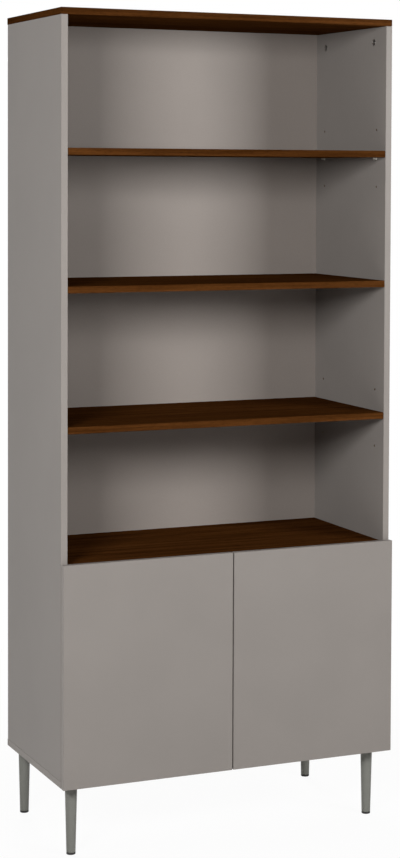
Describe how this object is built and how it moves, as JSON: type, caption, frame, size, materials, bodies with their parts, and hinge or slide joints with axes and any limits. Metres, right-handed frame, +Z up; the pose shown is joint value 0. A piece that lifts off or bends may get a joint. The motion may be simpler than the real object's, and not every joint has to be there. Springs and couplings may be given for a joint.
{
  "type": "bookcase with cabinet doors",
  "caption": "Tall open bookcase of grey board with dark wood shelves and top, a low cabinet with flat handleless doors, and slim round tapered metal legs.",
  "frame": {"origin": "on the floor under the middle of the bookcase's outline", "axes": "+X to the right seen from the front, +Y from the doors to the back, +Z up"},
  "size_m": [0.8, 0.4, 1.85],
  "materials": {
    "grey_board": "taupe grey melamine, matt",
    "walnut_board": "dark walnut melamine with fine straight grain, satin",
    "leg_metal": "grey metallic paint, satin",
    "foot_plastic": "black glide",
    "plated_steel": "nickel plated, satin",
    "nylon": "pale nylon",
    "grey_plastic": "moulded grey plastic"
  },
  "bodies": {
    "case": {"top_panel": "walnut_board", "bottom_panel": "grey_board", "back_panel": "grey_board", "cabinet_top": "walnut_board", "middle_shelf": "walnut_board", "upper_shelf": "walnut_board", "lower_shelf": "walnut_board", "cabinet_shelf": "grey_board", "leg_front_left": "leg_metal", "foot_front_left": "foot_plastic", "leg_front_right": "leg_metal", "foot_front_right": "foot_plastic", "leg_rear_left": "leg_metal", "foot_rear_left": "foot_plastic", "leg_rear_right": "leg_metal", "foot_rear_right": "foot_plastic", "left_side_panel": "grey_board", "left_front_cam_lock": "plated_steel", "left_rear_cam_lock": "plated_steel", "left_latch_housing": "grey_plastic", "cabinet_shelf_pin_left_front": "nylon", "cabinet_shelf_pin_left_rear": "nylon", "lower_shelf_pin_left_front": "nylon", "lower_shelf_pin_left_rear": "nylon", "upper_shelf_pin_left_front": "nylon", "upper_shelf_pin_left_rear": "nylon", "left_lower_hinge_arm": "plated_steel", "left_lower_hinge_plate": "plated_steel", "left_upper_hinge_arm": "plated_steel", "left_upper_hinge_plate": "plated_steel", "right_side_panel": "grey_board", "right_front_cam_lock": "plated_steel", "right_rear_cam_lock": "plated_steel", "right_latch_housing": "grey_plastic", "cabinet_shelf_pin_right_front": "nylon", "cabinet_shelf_pin_right_rear": "nylon", "lower_shelf_pin_right_front": "nylon", "lower_shelf_pin_right_rear": "nylon", "upper_shelf_pin_right_front": "nylon", "upper_shelf_pin_right_rear": "nylon", "right_lower_hinge_arm": "plated_steel", "right_lower_hinge_plate": "plated_steel", "right_upper_hinge_arm": "plated_steel", "right_upper_hinge_plate": "plated_steel"},
    "left_outer_links": {"left_lower_hinge_outer_link": "plated_steel", "left_upper_hinge_outer_link": "plated_steel"},
    "left_inner_links": {"left_lower_hinge_inner_link": "plated_steel", "left_upper_hinge_inner_link": "plated_steel"},
    "left_door": {"left_door": "grey_board", "left_lower_hinge_cup": "plated_steel", "left_upper_hinge_cup": "plated_steel"},
    "left_plunger": {"left_latch_plunger": "nylon"},
    "right_outer_links": {"right_lower_hinge_outer_link": "plated_steel", "right_upper_hinge_outer_link": "plated_steel"},
    "right_inner_links": {"right_lower_hinge_inner_link": "plated_steel", "right_upper_hinge_inner_link": "plated_steel"},
    "right_door": {"right_door": "grey_board", "right_lower_hinge_cup": "plated_steel", "right_upper_hinge_cup": "plated_steel"},
    "right_plunger": {"right_latch_plunger": "nylon"}
  },
  "joints": [
    {"name": "left_outer_links_swing", "type": "hinge", "parent": "case", "child": "left_outer_links", "pos_m": [-0.3797, -0.1762, 0.4], "axis": [0, 0, 1], "range_deg": [0, 42]},
    {"name": "left_door_hinge", "type": "hinge", "parent": "left_outer_links", "child": "left_door", "pos_m": [-0.3917, -0.1902, 0.4], "axis": [0, 0, -1], "range_deg": [0, 142]},
    {"name": "left_inner_links_swing", "type": "hinge", "parent": "case", "child": "left_inner_links", "pos_m": [-0.3675, -0.1875, 0.4], "axis": [0, 0, 1], "range_deg": [0, 37]},
    {"name": "left_plunger_slide", "type": "slide", "parent": "case", "child": "left_plunger", "axis": [0, -1, 0], "range_m": [0, 0.012]},
    {"name": "right_outer_links_swing", "type": "hinge", "parent": "case", "child": "right_outer_links", "pos_m": [0.3797, -0.1762, 0.4], "axis": [0, 0, -1], "range_deg": [0, 42]},
    {"name": "right_door_hinge", "type": "hinge", "parent": "right_outer_links", "child": "right_door", "pos_m": [0.3917, -0.1902, 0.4], "axis": [0, 0, 1], "range_deg": [0, 142]},
    {"name": "right_inner_links_swing", "type": "hinge", "parent": "case", "child": "right_inner_links", "pos_m": [0.3675, -0.1875, 0.4], "axis": [0, 0, -1], "range_deg": [0, 37]},
    {"name": "right_plunger_slide", "type": "slide", "parent": "case", "child": "right_plunger", "axis": [0, -1, 0], "range_m": [0, 0.012]}
  ],
  "couplings": [
    {"joint": "left_outer_links_swing", "follows": "left_door_hinge", "ratio": 0.2957},
    {"joint": "left_inner_links_swing", "follows": "left_door_hinge", "ratio": 0.2605},
    {"joint": "left_plunger_slide", "follows": "left_door_hinge", "m_per_rad": 0.00484},
    {"joint": "right_outer_links_swing", "follows": "right_door_hinge", "ratio": 0.2957},
    {"joint": "right_inner_links_swing", "follows": "right_door_hinge", "ratio": 0.2605},
    {"joint": "right_plunger_slide", "follows": "right_door_hinge", "m_per_rad": 0.00484}
  ]
}
